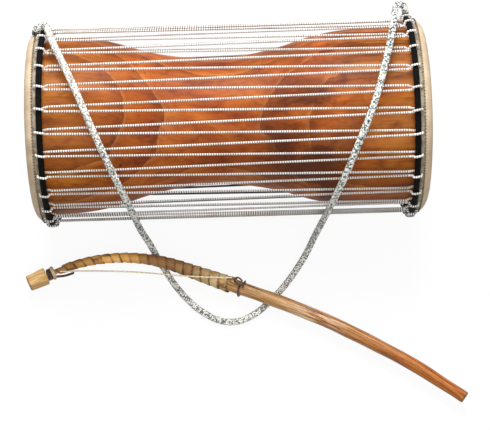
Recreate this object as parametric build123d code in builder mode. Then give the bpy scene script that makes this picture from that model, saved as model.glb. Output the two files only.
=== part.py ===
from build123d import *
from math import acos, cos, degrees, pi, radians, sin, tan
import os

# A talking drum lying on its hoops, with its shoulder strap and its beater.
# X runs along the drum's axis, -Y is the front, Z is up and z = 0 is the floor.
# The origin is on the floor, under the middle of the drum.

# Drum shell, mm
DRUM_LENGTH = 387.6
WAIST_RADIUS = 63.0
WAIST_AT = -15.0
WAIST_CURVE = 252.0
BOWL_RADIUS = 88.0
BOWL_REACH = 150.0
RIM_WALL = 9.0
RIM_ROUND = 5.0
BORE_RADIUS = 34.0
BORE_HALF_LENGTH = 30.0
HOLLOW_REACH = 115.0
HOLLOW_TAPER = 2.0

# Skins, mm
SKIN_THICKNESS = 1.0
SKIN_OVERLAP = 1.0
SHOULDER_RADIUS = 13.0
HEM_SKIRT = 1.2
HEM_INSIDE = 4.6
HEM_HEIGHT = 5.2
HEM_SLOPE = 1.5
HEM_GAP = 0.4

# Hoops and lacing, mm
HOOP_STANDOFF = 8.2
HOOP_SETBACK = 15.3
WRAP_SECTION = 5.8
WRAP_CHAMFER = 1.6
CORE_WIDTH = 3.0
CORE_DEPTH = 3.6
CORD_DIAMETER = 2.6
CORD_SIDES = 5
LACING_COUNT = 28
LEG_SPREAD = 4.6
LOOP_CUT = 1.6
RUN_DROP = 1.0
FIT = 0.15
CORD_GAP = 0.8

# Strap and its knots, mm
STRAP_DIAMETER = 7.5
STRAP_SIDES = 8
KNOT_DIAMETER = 6.8
KNOT_CORNER_RADIUS = 5.0
KNOT_LEAD = 8.0
RUN_SHARE = 0.45

# Beater, mm and degrees
BEATER_START = (-197.1, -128.5)
BEATER_HEIGHT = 15.4
NECK_ANGLE = 24.0
NECK_RUN = 18.0
BOW_RADIUS = 160.0
BOW_SWEEP = 46.5
STRAIGHT_RUN = 92.0
END_BEND_RADIUS = 790.0
END_RUN = 221.0
TIP_LENGTH = 20.0
TIP_WIDTH = 13.5
TIP_HEIGHT = 13.0
TIP_CHAMFER = 1.5
SOCKET_DEPTH = 9.0
NECK_DIAMETER = 6.0
BOW_DIAMETER = 8.0
HANDLE_DIAMETER = 14.4
END_DIAMETER = 12.6
NECK_END = 36.0
BOW_END = 112.0
HANDLE_BEGIN = 205.0
HANDLE_TAPER_AT = 360.0
STATION_STEP = 15.0
BINDING_DIAMETER = 12.6
BINDING_LENGTH = 5.0
BAND_DIAMETER = 14.0
BAND_LENGTH = 3.8
STRIP_WIDTH = 8.5
STRIP_PITCH = 9.5
STRIP_THICKNESS = 0.9
STRIP_TURNS = 18
STRIP_START = 34.0
TIE_WIDTH = 2.6
TIE_PITCH = 3.3
TIE_THICKNESS = 1.4
TIE_TURNS = 3
WINDING_SIDES = 10
WINDING_FIT = 0.25
TURN_GAP = 0.5
STRING_DIAMETER = 1.6
TAIL_DIAMETER = 2.0
TAIL_SIDES = 6

# Sizes that follow
HEAD_AT = DRUM_LENGTH / 2
RIM_AT = HEAD_AT - SKIN_THICKNESS
SKIN_FLAT_RADIUS = BOWL_RADIUS - RIM_ROUND + SKIN_OVERLAP
HOOP_AT = HEAD_AT - HOOP_SETBACK
HOOP_RADIUS = BOWL_RADIUS + HOOP_STANDOFF
PITCH_ANGLE = 360 / LACING_COUNT
CORD_OFFSET = (WRAP_SECTION + CORD_DIAMETER) / 2 + FIT
LOOP_RADIUS = HOOP_RADIUS + CORD_OFFSET
UNDER_RADIUS = HOOP_RADIUS - CORD_OFFSET
RUN_RADIUS = HOOP_RADIUS - RUN_DROP
AXIS_HEIGHT = LOOP_RADIUS + CORD_DIAMETER / 2
LEG_ANGLE = degrees(LEG_SPREAD / 2 / RUN_RADIUS)
LEG_REACH = CORD_OFFSET + 1.5 * CORD_DIAMETER
NOTCH_DEPTH = CORD_DIAMETER + 2 * FIT
HEM_AT = HOOP_AT + WRAP_SECTION / 2
HEM_TOP = HOOP_RADIUS - HEM_INSIDE + HEM_HEIGHT
HEM_END = HEM_AT + NOTCH_DEPTH + HEM_SKIRT
REST_RADIUS = HOOP_RADIUS + WRAP_SECTION / 2
TIE_START = STRIP_START + STRIP_TURNS * STRIP_PITCH + (STRIP_WIDTH + TIE_WIDTH) / 2 + TURN_GAP
DRUM_AXIS = Axis((0, 0, AXIS_HEIGHT), (1, 0, 0))
LEFT = -1
RIGHT = 1
LEFT_START = PITCH_ANGLE / 2
RIGHT_START = 0.0

os.makedirs("parts", exist_ok=True)


# Planes of the drum
def section_plane(side):
    """Plane of a half section: x out along the axis on the given side, y away from the axis."""
    return Plane(origin=(0, 0, AXIS_HEIGHT), x_dir=(side, 0, 0), z_dir=(0, -side, 0))


def ring_plane(along):
    """Plane across the drum's axis at a place along it, with its x pointing down to the floor."""
    return Plane(origin=(along, 0, AXIS_HEIGHT), x_dir=(0, 0, -1), z_dir=(1, 0, 0))


def around(along, angle, lift):
    """A point that far outside the hoop, with the angle counted from the back, upwards."""
    radius = REST_RADIUS + lift
    return (along, radius * cos(radians(angle)), AXIS_HEIGHT + radius * sin(radians(angle)))


def save(piece, name):
    piece.label = name
    export_step(piece, f"parts/{name}.step")


# Shell: the waist's arc and the bowls' arcs touch smoothly
waist_centre = WAIST_RADIUS + WAIST_CURVE
drop = waist_centre - BOWL_RADIUS
bowl_curve = (drop**2 + BOWL_REACH**2 - WAIST_CURVE**2) / (2 * (WAIST_CURVE - drop))
share = WAIST_CURVE / (WAIST_CURVE + bowl_curve)
touch_reach = BOWL_REACH * share
touch_radius = waist_centre - share * (drop + bowl_curve)
hollow_radius = BOWL_RADIUS - RIM_WALL
with BuildPart() as shell:
    with BuildSketch(section_plane(RIGHT)):
        with BuildLine():
            waist = ThreePointArc(
                (WAIST_AT - touch_reach, touch_radius),
                (WAIST_AT, WAIST_RADIUS),
                (WAIST_AT + touch_reach, touch_radius),
            )
            right_bowl = TangentArc((WAIST_AT + BOWL_REACH, BOWL_RADIUS), waist @ 1, tangent=(-1, 0))
            left_bowl = TangentArc((WAIST_AT - BOWL_REACH, BOWL_RADIUS), waist @ 0, tangent=(1, 0))
            Polyline(
                right_bowl @ 0,
                (RIM_AT, BOWL_RADIUS),
                (RIM_AT, hollow_radius),
                (WAIST_AT + HOLLOW_REACH, hollow_radius - HOLLOW_TAPER),
                (WAIST_AT + BORE_HALF_LENGTH, BORE_RADIUS),
                (WAIST_AT - BORE_HALF_LENGTH, BORE_RADIUS),
                (WAIST_AT - HOLLOW_REACH, hollow_radius - HOLLOW_TAPER),
                (-RIM_AT, hollow_radius),
                (-RIM_AT, BOWL_RADIUS),
                left_bowl @ 0,
            )
        make_face()
    revolve(axis=DRUM_AXIS)
    rims = shell.edges().filter_by(GeomType.CIRCLE).group_by(Axis.X)
    fillet([rims[0].sort_by(SortBy.RADIUS)[-1], rims[-1].sort_by(SortBy.RADIUS)[-1]], RIM_ROUND)
save(shell.part, "shell")


# Heads: a flat skin with a rounded shoulder, seated on the rim
def head(side):
    centre_at = HEAD_AT - SHOULDER_RADIUS
    inner_radius = SHOULDER_RADIUS - SKIN_THICKNESS
    shoulder_angle = degrees(acos((HEM_END + HEM_GAP - centre_at) / inner_radius))
    with BuildPart() as skin:
        with BuildSketch(section_plane(side)):
            with BuildLine():
                outer = CenterArc((centre_at, SKIN_FLAT_RADIUS), SHOULDER_RADIUS, 0, shoulder_angle)
                inner = CenterArc((centre_at, SKIN_FLAT_RADIUS), inner_radius, 0, shoulder_angle)
                Line(outer @ 1, inner @ 1)
                Polyline(outer @ 0, (HEAD_AT, 0), (RIM_AT, 0), inner @ 0)
            make_face()
        revolve(axis=DRUM_AXIS)
    return skin.part


# Hem: the folded, stitched edge of the skin, notched where each lacing loop goes through
def head_hem(side, start_angle):
    with BuildPart() as hem:
        with BuildSketch(section_plane(side)):
            with BuildLine():
                Polyline(
                    (HEM_AT, HEM_TOP - HEM_HEIGHT),
                    (HEM_AT, HEM_TOP),
                    (HEM_AT + NOTCH_DEPTH, HEM_TOP),
                    (HEM_END, HEM_TOP - HEM_SLOPE),
                    (HEM_END, HEM_TOP - HEM_HEIGHT),
                    close=True,
                )
            make_face()
        revolve(axis=DRUM_AXIS)
        with Locations(ring_plane(side * (HEM_AT + NOTCH_DEPTH / 2))):
            with PolarLocations(HOOP_RADIUS, LACING_COUNT, start_angle):
                Box(3 * HEM_HEIGHT, NOTCH_DEPTH, NOTCH_DEPTH, mode=Mode.SUBTRACT)
    return hem.part


# Hoop: a stiff flat ring inside a wrapping with chamfered edges
def hoop_core(side):
    with BuildPart() as core:
        with BuildSketch(section_plane(side)):
            with Locations((HOOP_AT, HOOP_RADIUS)):
                Rectangle(CORE_WIDTH, CORE_DEPTH)
        revolve(axis=DRUM_AXIS)
    return core.part


def hoop_wrap(side):
    with BuildPart() as wrap:
        with BuildSketch(section_plane(side)) as section:
            with Locations((HOOP_AT, HOOP_RADIUS)):
                Rectangle(WRAP_SECTION, WRAP_SECTION)
                chamfer(section.vertices(), WRAP_CHAMFER)
                Rectangle(CORE_WIDTH, CORE_DEPTH, mode=Mode.SUBTRACT)
        revolve(axis=DRUM_AXIS)
    return wrap.part


# Lacing loops: under the hoop, up through the hem, back over the hoop and down to the run
def lacing_loops(side, start_angle):
    route = [
        (-LEG_REACH, -LEG_SPREAD / 2, RUN_RADIUS),
        (LOOP_CUT - CORD_OFFSET, -LEG_SPREAD / 4, UNDER_RADIUS),
        (CORD_OFFSET, 0, UNDER_RADIUS),
        (CORD_OFFSET, 0, LOOP_RADIUS - LOOP_CUT),
        (CORD_OFFSET - LOOP_CUT, 0, LOOP_RADIUS),
        (LOOP_CUT - CORD_OFFSET, LEG_SPREAD / 4, LOOP_RADIUS),
        (-CORD_OFFSET, LEG_SPREAD / 4, LOOP_RADIUS - LOOP_CUT),
        (-CORD_OFFSET, LEG_SPREAD / 2, RUN_RADIUS),
        (-LEG_REACH, LEG_SPREAD / 2, RUN_RADIUS),
    ]
    with BuildPart() as loop:
        with BuildLine() as path:
            Polyline(*[(radius, across, side * out) for out, across, radius in route])
        with BuildSketch(Plane(origin=path.line @ 0, x_dir=(1, 0, 0), z_dir=path.line % 0)):
            RegularPolygon(CORD_DIAMETER / 2, CORD_SIDES)
        sweep(transition=Transition.RIGHT)
    with BuildPart(ring_plane(side * HOOP_AT)) as loops:
        with PolarLocations(0, LACING_COUNT, start_angle):
            add(loop.part)
    return loops.part


for side, name, start_angle in ((LEFT, "left", LEFT_START), (RIGHT, "right", RIGHT_START)):
    save(head(side), f"{name}_head")
    save(head_hem(side, start_angle), f"{name}_head_hem")
    save(hoop_core(side), f"{name}_hoop_core")
    save(hoop_wrap(side), f"{name}_hoop_wrap")
    save(lacing_loops(side, start_angle), f"{name}_lacing_loops")

# Tension cords: each left loop runs to the two right loops beside it
run_half = HOOP_AT - LEG_REACH - CORD_GAP
with BuildPart() as run_pair:
    for left_angle, right_angle in (
        (LEFT_START - LEG_ANGLE, RIGHT_START + LEG_ANGLE),
        (LEFT_START + LEG_ANGLE, RIGHT_START + PITCH_ANGLE - LEG_ANGLE),
    ):
        left_end = Vector(RUN_RADIUS, 0, 0).rotate(Axis.Z, left_angle) - Vector(0, 0, run_half)
        right_end = Vector(RUN_RADIUS, 0, 0).rotate(Axis.Z, right_angle) + Vector(0, 0, run_half)
        run = right_end - left_end
        with BuildSketch(Plane(origin=left_end, z_dir=run)):
            RegularPolygon(CORD_DIAMETER / 2, CORD_SIDES)
        extrude(amount=run.length)
with BuildPart(ring_plane(0)) as tension_cords:
    with PolarLocations(0, LACING_COUNT):
        add(run_pair.part)
save(tension_cords.part, "tension_cords")


# Cords: straight runs joined by arcs as large as the runs allow
def corner_radii(points, largest=None):
    radii = []
    for before, corner, after in zip(points, points[1:], points[2:]):
        come = Vector(*corner) - Vector(*before)
        leave = Vector(*after) - Vector(*corner)
        half_turn = radians(come.get_angle(leave)) / 2
        radius = RUN_SHARE * min(come.length, leave.length) / tan(half_turn)
        radii.append(min(radius, largest) if largest else radius)
    return radii


def cord_tube(points, diameter, sides, largest=None):
    radii = corner_radii(points, largest)
    with BuildPart() as tube:
        with BuildLine() as path:
            FilletPolyline(*points, radius=radii)
        with BuildSketch(Plane(origin=path.line @ 0, z_dir=path.line % 0)) as section:
            RegularPolygon(diameter / 2, sides)
        sweep()
    length = path.wire().length
    share = tube.part.volume / (section.sketch.area * length)
    print(f"tube of diameter {diameter}: length {length:.1f}, volume {share:.4f} of section times length")
    print("  radii", [round(radius, 1) for radius in radii])
    return tube.part


# Strap: over the drum's front on both sides and round on the floor, ends at the knots
STRAP_ROUTE = [
    around(-172.5, 57.0, 7.2),
    around(-169.5, 63.5, 7.0),
    around(-162.0, 75.0, 4.6),
    around(-146.0, 96.0, 4.0),
    around(-128.5, 121.0, 4.0),
    around(-111.0, 146.0, 4.0),
    around(-97.0, 171.0, 4.5),
    (-91.5, -101.5, 73.0),
    (-87.5, -99.0, 46.0),
    (-84.0, -98.0, 28.0),
    (-80.5, -100.0, 14.0),
    (-76.0, -107.0, 6.4),
    (-69.5, -118.0, 4.2),
    (-61.5, -132.0, 4.0),
    (-50.0, -148.0, 4.0),
    (-34.0, -164.5, 4.0),
    (-14.0, -176.5, 4.0),
    (6.5, -177.0, 4.0),
    (27.0, -165.0, 4.0),
    (46.0, -146.0, 4.0),
    (59.0, -129.5, 4.1),
    (68.0, -116.5, 5.2),
    (74.5, -107.5, 10.0),
    (79.0, -102.5, 21.0),
    (83.0, -100.5, 39.0),
    (88.0, -101.0, 66.0),
    around(94.5, 178.0, 4.5),
    around(107.0, 155.0, 4.0),
    around(122.5, 132.0, 4.0),
    around(139.5, 109.0, 4.0),
    around(151.5, 86.0, 4.0),
    around(160.5, 64.0, 4.5),
    around(165.5, 45.0, 6.5),
]
save(cord_tube(STRAP_ROUTE, STRAP_DIAMETER, STRAP_SIDES), "strap")


# Knots: the rope's ends go on, the left one over its hoop to the hem and the right one in a bight onto its hoop
def knot(end, inward, points, name):
    straight = (Vector(*end) - Vector(*inward)).normalized()
    lead = [Vector(*end) + straight * reach for reach in (FIT, KNOT_LEAD)]
    route = [tuple(point) for point in lead] + points
    save(cord_tube(route, KNOT_DIAMETER, STRAP_SIDES, KNOT_CORNER_RADIUS), name)


KNOT_SEAT = HEM_TOP + FIT - REST_RADIUS
HOOP_SEAT = FIT
LEFT_KNOT_POINTS = [
    around(LEFT * (HOOP_AT + 1.0), 51.4, 5.5),
    around(LEFT * (HOOP_AT + 7.0), 51.4, 3.0),
    around(LEFT * (HOOP_AT + 7.0), 51.4, KNOT_SEAT),
]
RIGHT_KNOT_POINTS = [
    around(RIGHT * (HOOP_AT - 9.0), 36.0, 11.5),
    around(RIGHT * (HOOP_AT - 4.0), 32.6, 12.0),
    around(RIGHT * HOOP_AT, 32.1, 8.5),
    around(RIGHT * HOOP_AT, 32.1, HOOP_SEAT),
]
knot(STRAP_ROUTE[0], STRAP_ROUTE[1], LEFT_KNOT_POINTS, "left_strap_knot")
knot(STRAP_ROUTE[-1], STRAP_ROUTE[-2], RIGHT_KNOT_POINTS, "right_strap_knot")

# Beater: the stick's centre line is a straight neck, a bow, a straight run and a long bend
with BuildLine(Plane.XY.offset(BEATER_HEIGHT)) as stick_line:
    neck = PolarLine(BEATER_START, NECK_RUN, NECK_ANGLE)
    bow = JernArc(neck @ 1, neck % 1, BOW_RADIUS, -BOW_SWEEP)
    straight = PolarLine(bow @ 1, STRAIGHT_RUN, NECK_ANGLE - BOW_SWEEP)
    JernArc(straight @ 1, straight % 1, END_BEND_RADIUS, -degrees(END_RUN / END_BEND_RADIUS))
stick_wire = stick_line.wire()
STICK_LENGTH = stick_wire.length


def station(place):
    """Plane across the stick at a distance along its centre line, with its x pointing up."""
    centre = stick_wire.position_at(place, position_mode=PositionMode.LENGTH)
    along = stick_wire.tangent_at(place, position_mode=PositionMode.LENGTH)
    return Plane(origin=centre, x_dir=(0, 0, 1), z_dir=along)


def stick_diameter(place):
    """The stick swells from its neck to its handle and thins again to its end."""
    stations = [
        (0.0, NECK_DIAMETER),
        (NECK_END, NECK_DIAMETER),
        (BOW_END, BOW_DIAMETER),
        (HANDLE_BEGIN, HANDLE_DIAMETER),
        (HANDLE_TAPER_AT, HANDLE_DIAMETER),
        (STICK_LENGTH, END_DIAMETER),
    ]
    for (start, first), (end, last) in zip(stations, stations[1:]):
        if place <= end:
            return first + (last - first) * (place - start) / (end - start)
    return END_DIAMETER


station_count = round(STICK_LENGTH / STATION_STEP)
with BuildPart() as beater_stick:
    for index in range(station_count + 1):
        place = STICK_LENGTH * index / station_count
        with BuildSketch(station(place)):
            Circle(stick_diameter(place) / 2)
    loft()
save(beater_stick.part, "beater_stick")

with BuildPart(station(SOCKET_DEPTH)) as beater_tip:
    Box(TIP_HEIGHT, TIP_WIDTH, TIP_LENGTH, align=(Align.CENTER, Align.CENTER, Align.MAX))
    chamfer(beater_tip.edges(), TIP_CHAMFER)
    Hole(NECK_DIAMETER / 2 + FIT, depth=SOCKET_DEPTH + FIT)
save(beater_tip.part, "beater_tip")


def collar(place, length, diameter):
    with BuildPart(station(place)) as ring:
        Cylinder(diameter / 2, length, align=(Align.CENTER, Align.CENTER, Align.MIN))
        Hole(NECK_DIAMETER / 2 + FIT)
    return ring.part


# The dark binding's loose end comes out past the pale band
BINDING_TAIL = [
    (-178.4, -125.2, BEATER_HEIGHT - 0.7),
    (-173.5, -124.8, BEATER_HEIGHT - 2.7),
    (-167.5, -122.8, BEATER_HEIGHT - 4.2),
    (-161.7, -120.3, BEATER_HEIGHT - 4.6),
]
with BuildPart() as tip_binding:
    add(collar(SOCKET_DEPTH, BINDING_LENGTH, BINDING_DIAMETER))
    add(cord_tube(BINDING_TAIL, TAIL_DIAMETER, TAIL_SIDES))
save(tip_binding.part, "beater_tip_binding")
save(collar(SOCKET_DEPTH + BINDING_LENGTH, BAND_LENGTH, BAND_DIAMETER), "beater_tip_band")


# Windings: one unbroken flat strip round the stick, turn beside turn
def winding_section(place, turn, thickness):
    across = station(place)
    inside = stick_diameter(place) / 2 / cos(pi / WINDING_SIDES) + WINDING_FIT
    away = across.x_dir.rotate(Axis((0, 0, 0), across.z_dir), 360 * turn)
    origin = across.origin + away * (inside + thickness / 2)
    return Plane(origin=origin, x_dir=across.z_dir, z_dir=across.z_dir.cross(away))


def winding(start, turns, pitch, width, thickness, name):
    sections = [
        winding_section(start + pitch * step / WINDING_SIDES, step / WINDING_SIDES, thickness)
        for step in range(turns * WINDING_SIDES + 1)
    ]
    with BuildPart() as strip:
        for plane in sections:
            with BuildSketch(plane):
                Rectangle(width, thickness)
        loft(ruled=True)
    gaps = [
        (later.origin - earlier.origin).length - width
        for earlier, later in zip(sections, sections[WINDING_SIDES:])
    ]
    print(f"{name}: {turns} turns, least gap between turns {min(gaps):.2f}")
    return strip.part


save(winding(STRIP_START, STRIP_TURNS, STRIP_PITCH, STRIP_WIDTH, STRIP_THICKNESS, "wrap"), "beater_wrap")

# The tie's loose end curls over the string
TIE_CURL = [
    (7.5, -143.5, BEATER_HEIGHT + 10.45),
    (2.5, -142.0, BEATER_HEIGHT + 12.6),
    (-2.5, -140.0, BEATER_HEIGHT + 13.0),
    (-4.5, -136.5, BEATER_HEIGHT + 13.0),
    (-2.5, -133.5, BEATER_HEIGHT + 12.8),
    (1.0, -134.0, BEATER_HEIGHT + 12.6),
    (3.0, -137.0, BEATER_HEIGHT + 12.4),
]
with BuildPart() as beater_tie:
    add(winding(TIE_START, TIE_TURNS, TIE_PITCH, TIE_WIDTH, TIE_THICKNESS, "tie"))
    add(cord_tube(TIE_CURL, TAIL_DIAMETER, TAIL_SIDES))
save(beater_tie.part, "beater_tie")

# String: across the bow, from the neck to the tie on the handle
STRING_ROUTE = [
    (-175.0, -121.6, BEATER_HEIGHT + 2.7),
    (-114.0, -122.5, BEATER_HEIGHT + 3.3),
    (-42.0, -134.5, BEATER_HEIGHT + 7.4),
    (-1.5, -137.5, BEATER_HEIGHT + 10.4),
]
save(cord_tube(STRING_ROUTE, STRING_DIAMETER, TAIL_SIDES), "beater_string")
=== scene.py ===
import bpy
from math import atan2, cos, floor, hypot, pi, radians, sin
from mathutils import Matrix, Vector, noise


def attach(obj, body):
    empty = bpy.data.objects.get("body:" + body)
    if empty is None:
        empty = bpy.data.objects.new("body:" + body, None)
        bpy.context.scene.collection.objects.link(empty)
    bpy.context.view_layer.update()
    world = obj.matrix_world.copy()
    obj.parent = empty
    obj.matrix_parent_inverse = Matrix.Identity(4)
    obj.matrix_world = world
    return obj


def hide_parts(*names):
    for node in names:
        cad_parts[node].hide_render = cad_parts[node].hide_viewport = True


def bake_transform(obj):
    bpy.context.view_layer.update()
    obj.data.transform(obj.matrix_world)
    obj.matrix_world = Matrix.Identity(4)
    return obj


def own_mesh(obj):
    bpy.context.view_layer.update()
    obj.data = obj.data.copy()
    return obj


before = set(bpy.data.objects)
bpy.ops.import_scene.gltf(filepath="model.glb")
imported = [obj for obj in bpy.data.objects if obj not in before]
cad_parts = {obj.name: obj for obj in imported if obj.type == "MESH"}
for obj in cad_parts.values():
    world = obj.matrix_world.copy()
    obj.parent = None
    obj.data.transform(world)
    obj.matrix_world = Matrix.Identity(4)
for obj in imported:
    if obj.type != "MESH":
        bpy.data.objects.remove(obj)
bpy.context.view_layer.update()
bpy.ops.object.select_all(action="DESELECT")
scene = bpy.context.scene

# Sizes of the drum and its hoops: lengths in metres, angles in degrees
MM = 0.001
AXIS_HEIGHT = 101.85 * MM
HOOP_AT = 178.5 * MM
HOOP_RADIUS = 96.2 * MM
HOOP_THICKNESS = 5.8 * MM
REST_RADIUS = HOOP_RADIUS + HOOP_THICKNESS / 2
WRAP_TURNS = 84
WRAP_LOW, WRAP_RIDGE = 0.94, 0.10
HEM_TOP = 96.8 * MM
STITCH_COUNT = 196
STITCH_SHAPE = (1.3, 0.42, 0.35)
STITCH_TILT, STITCH_SLANT = 40, 18
LEFT, RIGHT = -1, 1
SHARP_FROM = 50

# The lacing: 28 loops at each hoop, whose two legs spread to the runs between the hoops
LACING_COUNT = 28
PITCH_ANGLE = 2 * pi / LACING_COUNT
LOOPS_A_QUARTER = LACING_COUNT // 4
CORD_DIAMETER = 2.4 * MM
CORD_OFFSET = 4.35 * MM
LOOP_RADIUS = HOOP_RADIUS + CORD_OFFSET
UNDER_RADIUS = HOOP_RADIUS - CORD_OFFSET
RUN_RADIUS = HOOP_RADIUS - 1.0 * MM
LOOP_CUT = 1.6 * MM
LEG_SPREAD = 4.6 * MM
LEG_REACH = 8.25 * MM
LEG_ANGLE = LEG_SPREAD / 2 / RUN_RADIUS
RUN_END = HOOP_AT - LEG_REACH
RUN_LAYS = 148
RUN_STEPS = 4 * RUN_LAYS
CORD_LAY = 2 * RUN_END / RUN_LAYS
CORD_SIDES = 8
CORD_GROOVE = 0.22
CREST_SLANT = 0.5
# How much painted shade the loops' grooves get
LOOP_GROOVE_SHADE = 0.75
# Each end's side, name and the angle of its first loop
SIDES = ((LEFT, "left", PITCH_ANGLE / 2), (RIGHT, "right", 0.0))

# The strap's rope, drawn a little thinner than its solid, with room for the strands to cross
STRAP_LENGTH = 892.2 * MM
ROPE_DRAWN = 7.0 * MM
ROPE_STRANDS = 16
STRAND_SIDES = 6
ROPE_LAY = 34 * MM
KNOT_LEAD = 8 * MM
SEALED_END = 6 * MM

# The beater: its height is in metres, the rest in mm and degrees, with places counted along the stick
BEATER_HEIGHT = 15.4 * MM
BEATER_START = (-197.1, -128.5)
NECK_ANGLE = 24.0
NECK_RUN = 18.0
BOW_RADIUS = 160.0
BOW_SWEEP = 46.5
BOW_RUN = BOW_RADIUS * radians(BOW_SWEEP)
STRAIGHT_RUN = 92.0
END_RADIUS = 790.0
END_RUN = 221.0
STICK_LENGTH = NECK_RUN + BOW_RUN + STRAIGHT_RUN + END_RUN
STICK_END = STICK_LENGTH + 3.0
STICK_STATIONS = [(0, 6.0), (36, 6.0), (112, 8.0), (205, 14.4), (360, 14.4), (STICK_LENGTH, 12.6)]
STICK_SIDES = 20
STICK_STEPS = 150
KNOBBLES_ALONG = 0.035
KNOBBLES_ROUND = 0.8
STRIP_START = 24
STRIP_TURNS = 19
STRIP_PITCH = 9.5
STRIP_WIDTH = 10.0
STRIP_THICKNESS = 0.8
STRIP_LIFT = 0.75
STRIP_STEPS = 30
STRIP_CLEAR = 0.25
STRIP_WANDER = 0.22
WANDERS_A_TURN = 1.7
# The strip's section, round from one edge: part of its half width, and part of its thickness
STRIP_SECTION = ((-1, 0), (0, 0), (1, 0), (1, 0.5), (0.8, 0.95), (0, 1.0), (-0.8, 0.8), (-1, 0.15))
THONG_STEPS = 20
THONG_SIDES = 8
THONG_END = 0.7
BAND_AT = 15.9
KNIFE_SEED = 1795815268

# The string across the beater's bow, drawn a little thicker than its solid
STRING_DRAWN = 1.8 * MM
STRING_LAY = 5 * MM


# Camera, where the photograph was taken from
PIXELS_WIDE = 490
FOCAL_PIXELS = 1650
SENSOR_WIDTH = 36
CAMERA_PLACE = (0, -0.79994, 1.54697)
look = Vector((0.008153, 0.433475, -0.901129)).normalized()
picture_right = Vector((0.999528, -0.030226, -0.005496)).normalized()
picture_up = picture_right.cross(look)
camera_data = bpy.data.cameras.new("camera")
camera_data.sensor_fit = "HORIZONTAL"
camera_data.sensor_width = SENSOR_WIDTH
camera_data.lens = SENSOR_WIDTH * FOCAL_PIXELS / PIXELS_WIDE
camera = bpy.data.objects.new("camera", camera_data)
scene.collection.objects.link(camera)
camera_turn = Matrix((picture_right, picture_up, -look)).transposed().to_4x4()
camera.matrix_world = Matrix.Translation(CAMERA_PLACE) @ camera_turn
scene.camera = camera


# Small helpers for nodes and meshes
def linear(hex_colour):
    """An sRGB hex colour as linear red, green, blue and alpha."""
    channels = [int(hex_colour[place : place + 2], 16) / 255 for place in (0, 2, 4)]
    return [c / 12.92 if c <= 0.04045 else ((c + 0.055) / 1.055) ** 2.4 for c in channels] + [1.0]


def add_node(tree, kind, inputs=(), stops=(), **settings):
    """One node with its settings, its socket values or links, and a ramp's stops."""
    made = tree.nodes.new(kind)
    for name, value in settings.items():
        setattr(made, name, value)
    for socket, value in dict(inputs).items():
        if isinstance(value, bpy.types.NodeSocket):
            tree.links.new(value, made.inputs[socket])
        else:
            made.inputs[socket].default_value = value
    for index, (place, hex_colour) in enumerate(stops):
        elements = made.color_ramp.elements
        stop = elements[index] if index < 2 else elements.new(place)
        stop.position = place
        stop.color = linear(hex_colour)
    return made


def start_material(name, **sockets):
    """A material with one plain shader, and the shader's constant sockets."""
    material = bpy.data.materials.new(name)
    material.use_nodes = True
    tree = material.node_tree
    shader = tree.nodes["Principled BSDF"]
    for socket, value in sockets.items():
        shader.inputs[socket.replace("_", " ")].default_value = value
    return material, tree, shader


def speckled_finish(name, spot, stops, detail=2.0, bump=0.0, **sockets):
    """A plain finish in two tones, with soft spots that many metres wide, raised where bump is given."""
    material, tree, shader = start_material(name, **sockets)
    place = add_node(tree, "ShaderNodeTexCoord").outputs["Object"]
    spots = add_node(tree, "ShaderNodeTexNoise", {"Vector": place, "Scale": 1 / spot, "Detail": detail})
    tones = add_node(tree, "ShaderNodeValToRGB", {"Fac": spots.outputs["Fac"]}, stops)
    tree.links.new(tones.outputs["Color"], shader.inputs["Base Color"])
    if bump:
        raised = add_node(
            tree, "ShaderNodeBump", {"Height": spots.outputs["Fac"], "Strength": bump, "Distance": 0.3 * MM}
        )
        tree.links.new(raised.outputs["Normal"], shader.inputs["Normal"])
    return material


def dress(piece, material):
    """Gives a piece its material and its slot, and shades it smooth, apart from sharp edges."""
    piece.data.materials.clear()
    piece.data.materials.append(material)
    bpy.ops.object.select_all(action="DESELECT")
    bpy.context.view_layer.objects.active = piece
    piece.select_set(True)
    bpy.ops.object.shade_smooth_by_angle(angle=radians(SHARP_FROM))
    piece.select_set(False)


def line_of(route, resolution):
    """Points of the smooth NURBS line that a route's points control."""
    curve = bpy.data.curves.new("route", "CURVE")
    curve.dimensions = "3D"
    curve.resolution_u = resolution
    spline = curve.splines.new("NURBS")
    spline.points.add(len(route) - 1)
    for point, place in zip(spline.points, route):
        point.co = (*place, 1.0)
    spline.order_u = 3
    spline.use_endpoint_u = True
    line = bpy.data.objects.new("route", curve)
    mesh = bpy.data.meshes.new_from_object(line)
    points = [vertex.co.copy() for vertex in mesh.vertices]
    bpy.data.objects.remove(line)
    bpy.data.meshes.remove(mesh)
    bpy.data.curves.remove(curve)
    return points


def frames_along(points, first_up=(0, 0, 1)):
    """Run so far, point, up and side at each point of a line, carried along untwisted."""
    frames = []
    up = Vector(first_up)
    run = 0.0
    for index, point in enumerate(points):
        ahead = points[min(index + 1, len(points) - 1)]
        behind = points[max(index - 1, 0)]
        along = (ahead - behind).normalized()
        up = (up - along * up.dot(along)).normalized()
        run += (point - points[index - 1]).length if index else 0.0
        frames.append((run, point, up, along.cross(up)))
    return frames


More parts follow.
